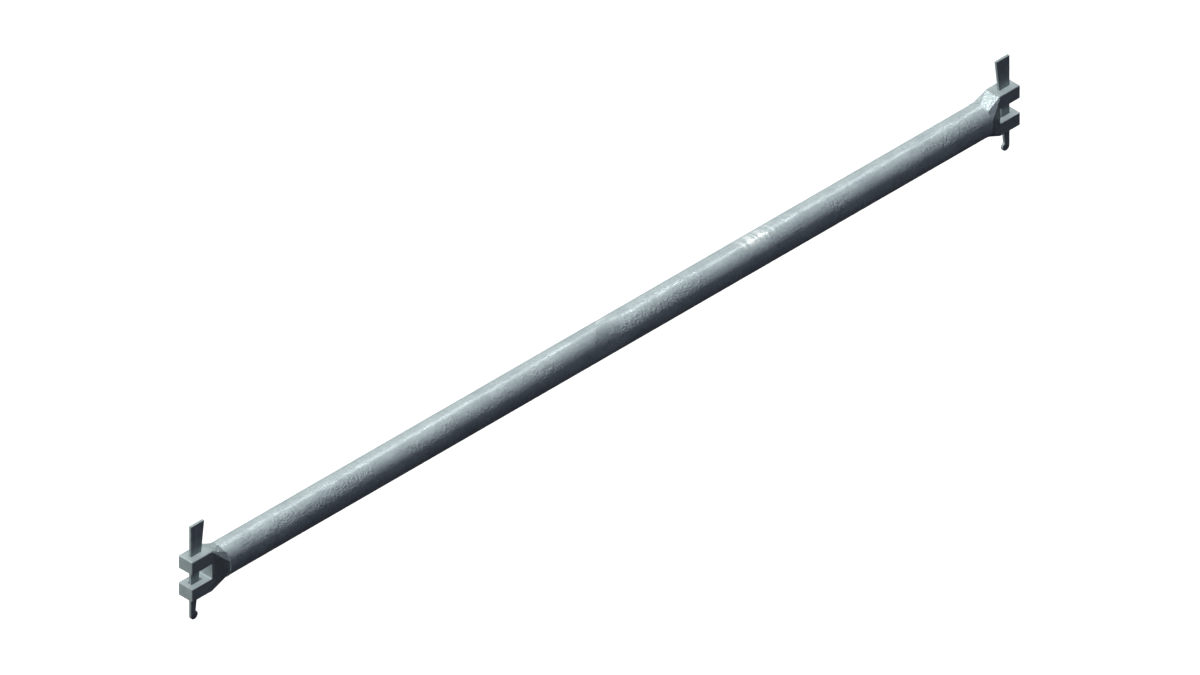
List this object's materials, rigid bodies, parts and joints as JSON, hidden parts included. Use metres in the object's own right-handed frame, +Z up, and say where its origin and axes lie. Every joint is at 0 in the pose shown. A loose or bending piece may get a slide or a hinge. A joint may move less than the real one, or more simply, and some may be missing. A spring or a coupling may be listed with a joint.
{
  "type": "scaffold ledger",
  "caption": "Round galvanised steel tube with a forked wedge head welded on each end: the jaws take a standard's rosette and a captive sliding wedge locks them to it.",
  "frame": {"origin": "on the tube's axis at mid-length", "axes": "+X along the ledger, +Z up along the wedges, as the ledger hangs between two standards"},
  "size_m": [1.5236, 0.0494, 0.149],
  "materials": {
    "galvanised_tube": "hot-dip galvanised drawn tube, satin with faint spangle",
    "galvanised_casting": "hot-dip galvanised steel casting, satin with fine cast grain",
    "galvanised_weld": "weld bead under the zinc coat",
    "galvanised_wedge": "galvanised flat steel, satin",
    "plated_rivet": "zinc-plated rivet, satin"
  },
  "bodies": {
    "ledger": {"ledger_tube": "galvanised_tube", "left_head": "galvanised_casting", "right_head": "galvanised_casting", "left_weld": "galvanised_weld", "right_weld": "galvanised_weld"},
    "left_wedge_set": {"left_wedge": "galvanised_wedge", "left_wedge_rivet": "plated_rivet"},
    "right_wedge_set": {"right_wedge": "galvanised_wedge", "right_wedge_rivet": "plated_rivet"}
  },
  "joints": [
    {"name": "left_wedge_slide", "type": "slide", "parent": "ledger", "child": "left_wedge_set", "axis": [0, 0, 1], "range_m": [0, 0.07165]},
    {"name": "right_wedge_slide", "type": "slide", "parent": "ledger", "child": "right_wedge_set", "axis": [0, 0, 1], "range_m": [0, 0.07165]}
  ]
}
